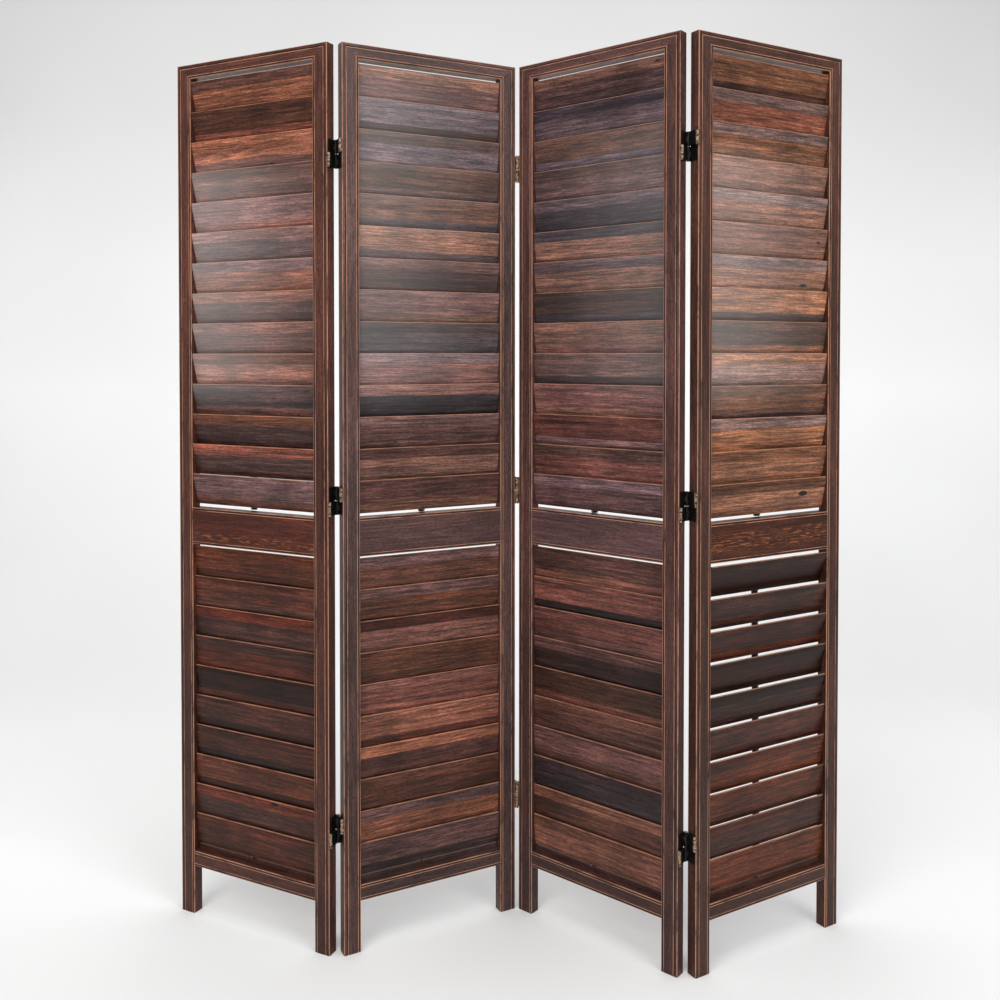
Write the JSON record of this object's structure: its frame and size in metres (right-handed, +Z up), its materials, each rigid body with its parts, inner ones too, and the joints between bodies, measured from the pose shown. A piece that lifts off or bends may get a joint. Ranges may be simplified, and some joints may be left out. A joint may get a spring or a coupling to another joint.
{
  "type": "folding room divider screen",
  "caption": "Free-standing folding screen of framed wooden louvre panels, joined in a zigzag by double-action hinges, with slats on pivots and tilt rods behind them.",
  "frame": {"origin": "on the floor, at the middle of the standing footprint's bounding box", "axes": "+X along the screen from left to right, +Y from the front to the back, +Z up"},
  "size_m": [1.3092, 0.2674, 1.7],
  "materials": {
    "frame_wood": "dark reddish-brown stain, satin, rubbed to copper along the edges",
    "slat_wood": "edge-glued strips, dark stain, satin",
    "rod_wood": "dark stain, satin",
    "hinge_leaf_metal": "black, worn to bronze on the barrels",
    "hinge_link_metal": "black, worn to bronze on the barrels",
    "hinge_pin_metal": "dull bronze",
    "screw_metal": "black oxide"
  },
  "bodies": {
    "panel_2": {"panel_2_left_stile": "frame_wood", "panel_2_right_stile": "frame_wood", "panel_2_top_rail": "frame_wood", "panel_2_middle_rail": "frame_wood", "panel_2_bottom_rail": "frame_wood", "panel_2_slats": "slat_wood", "panel_2_tilt_rods": "rod_wood", "panel_2_hinge_pins": "hinge_pin_metal", "panel_2_hinge_screws": "screw_metal", "hinge_1_right_leaves": "hinge_leaf_metal", "hinge_1_upper_links": "hinge_link_metal", "hinge_2_left_leaves": "hinge_leaf_metal", "hinge_2_upper_links": "hinge_link_metal"},
    "panel_1": {"panel_1_left_stile": "frame_wood", "panel_1_right_stile": "frame_wood", "panel_1_top_rail": "frame_wood", "panel_1_middle_rail": "frame_wood", "panel_1_bottom_rail": "frame_wood", "panel_1_slats": "slat_wood", "panel_1_tilt_rods": "rod_wood", "panel_1_hinge_pins": "hinge_pin_metal", "panel_1_hinge_screws": "screw_metal", "hinge_1_left_leaves": "hinge_leaf_metal", "hinge_1_lower_links": "hinge_link_metal"},
    "panel_3": {"panel_3_left_stile": "frame_wood", "panel_3_right_stile": "frame_wood", "panel_3_top_rail": "frame_wood", "panel_3_middle_rail": "frame_wood", "panel_3_bottom_rail": "frame_wood", "panel_3_slats": "slat_wood", "panel_3_tilt_rods": "rod_wood", "panel_3_hinge_pins": "hinge_pin_metal", "panel_3_hinge_screws": "screw_metal", "hinge_2_right_leaves": "hinge_leaf_metal", "hinge_2_lower_links": "hinge_link_metal", "hinge_3_left_leaves": "hinge_leaf_metal", "hinge_3_lower_links": "hinge_link_metal"},
    "panel_4": {"panel_4_left_stile": "frame_wood", "panel_4_right_stile": "frame_wood", "panel_4_top_rail": "frame_wood", "panel_4_middle_rail": "frame_wood", "panel_4_bottom_rail": "frame_wood", "panel_4_upper_slats": "slat_wood", "panel_4_upper_tilt_rod": "rod_wood", "panel_4_hinge_pins": "hinge_pin_metal", "panel_4_hinge_screws": "screw_metal", "hinge_3_right_leaves": "hinge_leaf_metal", "hinge_3_upper_links": "hinge_link_metal"},
    "lower_slat_01": {"panel_4_lower_slat_01": "slat_wood"},
    "lower_slat_02": {"panel_4_lower_slat_02": "slat_wood"},
    "lower_slat_03": {"panel_4_lower_slat_03": "slat_wood"},
    "lower_slat_04": {"panel_4_lower_slat_04": "slat_wood"},
    "lower_slat_05": {"panel_4_lower_slat_05": "slat_wood"},
    "lower_slat_06": {"panel_4_lower_slat_06": "slat_wood"},
    "lower_slat_07": {"panel_4_lower_slat_07": "slat_wood"},
    "lower_slat_08": {"panel_4_lower_slat_08": "slat_wood"},
    "lower_slat_09": {"panel_4_lower_slat_09": "slat_wood"},
    "lower_slat_10": {"panel_4_lower_slat_10": "slat_wood"},
    "lower_tilt_rod": {"panel_4_lower_tilt_rod": "rod_wood"}
  },
  "joints": [
    {"name": "fold_1_2", "type": "hinge", "parent": "panel_2", "child": "panel_1", "pos_m": [-0.31691, -0.03902, 0.852], "axis": [0, 0, -1], "range_deg": [-53.9, 122.1]},
    {"name": "fold_2_3", "type": "hinge", "parent": "panel_2", "child": "panel_3", "pos_m": [0.02403, 0.10919, 0.852], "axis": [0, 0, -1], "range_deg": [-66.87, 111.1]},
    {"name": "fold_3_4", "type": "hinge", "parent": "panel_3", "child": "panel_4", "pos_m": [0.32454, -0.10966, 0.852], "axis": [0, 0, 1], "range_deg": [-69.32, 106.68]},
    {"name": "lower_slat_01_tilt", "type": "hinge", "parent": "panel_4", "child": "lower_slat_01", "pos_m": [0.49168, -0.02834, 0.71125], "axis": [0.8695, 0.4939, 0], "range_deg": [-1.43, 142.33]},
    {"name": "lower_slat_02_tilt", "type": "hinge", "parent": "panel_4", "child": "lower_slat_02", "pos_m": [0.49168, -0.02834, 0.65125], "axis": [0.8695, 0.4939, 0], "range_deg": [-1.46, 145.37]},
    {"name": "lower_slat_03_tilt", "type": "hinge", "parent": "panel_4", "child": "lower_slat_03", "pos_m": [0.49168, -0.02834, 0.59125], "axis": [0.8695, 0.4939, 0], "range_deg": [-1.49, 148.39]},
    {"name": "lower_slat_04_tilt", "type": "hinge", "parent": "panel_4", "child": "lower_slat_04", "pos_m": [0.49168, -0.02834, 0.53125], "axis": [0.8695, 0.4939, 0], "range_deg": [-1.52, 151.38]},
    {"name": "lower_slat_05_tilt", "type": "hinge", "parent": "panel_4", "child": "lower_slat_05", "pos_m": [0.49168, -0.02834, 0.47125], "axis": [0.8695, 0.4939, 0], "range_deg": [-1.5, 154.3]},
    {"name": "lower_slat_06_tilt", "type": "hinge", "parent": "panel_4", "child": "lower_slat_06", "pos_m": [0.49168, -0.02834, 0.41125], "axis": [0.8695, 0.4939, 0], "range_deg": [-1.58, 157.3]},
    {"name": "lower_slat_07_tilt", "type": "hinge", "parent": "panel_4", "child": "lower_slat_07", "pos_m": [0.49168, -0.02834, 0.35125], "axis": [0.8695, 0.4939, 0], "range_deg": [-1.61, 160.24]},
    {"name": "lower_slat_08_tilt", "type": "hinge", "parent": "panel_4", "child": "lower_slat_08", "pos_m": [0.49168, -0.02834, 0.29125], "axis": [0.8695, 0.4939, 0], "range_deg": [-1.64, 163.16]},
    {"name": "lower_slat_09_tilt", "type": "hinge", "parent": "panel_4", "child": "lower_slat_09", "pos_m": [0.49168, -0.02834, 0.23125], "axis": [0.8695, 0.4939, 0], "range_deg": [-1.66, 166.07]},
    {"name": "lower_slat_10_tilt", "type": "hinge", "parent": "panel_4", "child": "lower_slat_10", "pos_m": [0.49168, -0.02834, 0.17125], "axis": [0.8695, 0.4939, 0], "range_deg": [-1.69, 168.97]},
    {"name": "lower_rod_swing", "type": "hinge", "parent": "lower_slat_05", "child": "lower_tilt_rod", "pos_m": [0.47549, -0.02818, 0.43747], "axis": [0.8695, 0.4939, 0], "range_deg": [-154.4, 1.6]}
  ],
  "couplings": [
    {"joint": "lower_slat_01_tilt", "follows": "lower_slat_05_tilt", "ratio": 0.92212},
    {"joint": "lower_slat_02_tilt", "follows": "lower_slat_05_tilt", "ratio": 0.94182},
    {"joint": "lower_slat_03_tilt", "follows": "lower_slat_05_tilt", "ratio": 0.96136},
    {"joint": "lower_slat_04_tilt", "follows": "lower_slat_05_tilt", "ratio": 0.98075},
    {"joint": "lower_slat_06_tilt", "follows": "lower_slat_05_tilt", "ratio": 1.0191},
    {"joint": "lower_slat_07_tilt", "follows": "lower_slat_05_tilt", "ratio": 1.0382},
    {"joint": "lower_slat_08_tilt", "follows": "lower_slat_05_tilt", "ratio": 1.0571},
    {"joint": "lower_slat_09_tilt", "follows": "lower_slat_05_tilt", "ratio": 1.076},
    {"joint": "lower_slat_10_tilt", "follows": "lower_slat_05_tilt", "ratio": 1.0948},
    {"joint": "lower_rod_swing", "follows": "lower_slat_05_tilt", "ratio": -1}
  ]
}
